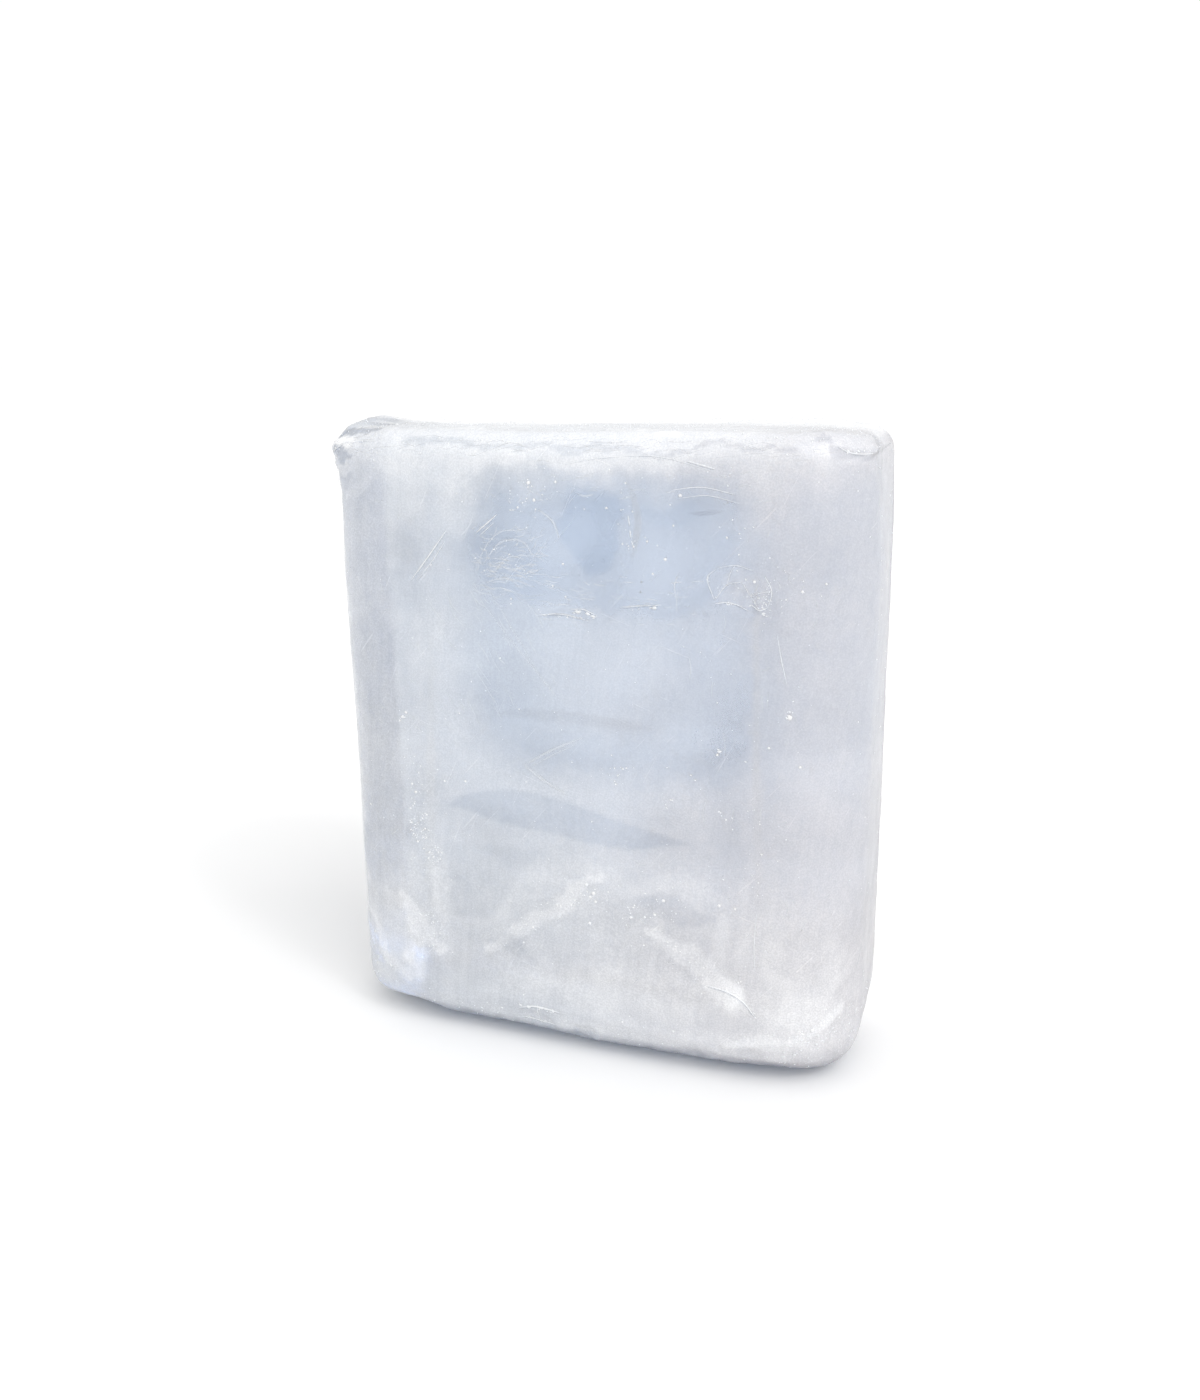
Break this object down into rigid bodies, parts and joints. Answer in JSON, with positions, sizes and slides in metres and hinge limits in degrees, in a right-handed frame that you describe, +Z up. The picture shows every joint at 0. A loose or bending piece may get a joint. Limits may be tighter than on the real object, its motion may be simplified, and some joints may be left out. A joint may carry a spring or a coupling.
{
  "type": "ice block",
  "caption": "Upright rectangular block of clear-to-cloudy ice with rounded, slightly melted edges, standing on its flat foot.",
  "frame": {"origin": "centre of the footprint, on the flat face the block stands on", "axes": "+Z up along the height, +X along the width, to the right seen from the front; the front broad face looks along -Y"},
  "size_m": [0.2182, 0.1032, 0.2504],
  "materials": {
    "ice": "clear bluish ice with a frosted, hazy skin, white frost along the edges, bubbles, cloudy veils and shallow scrapes"
  },
  "bodies": {
    "root": {"ice_block": "ice"}
  },
  "joints": []
}
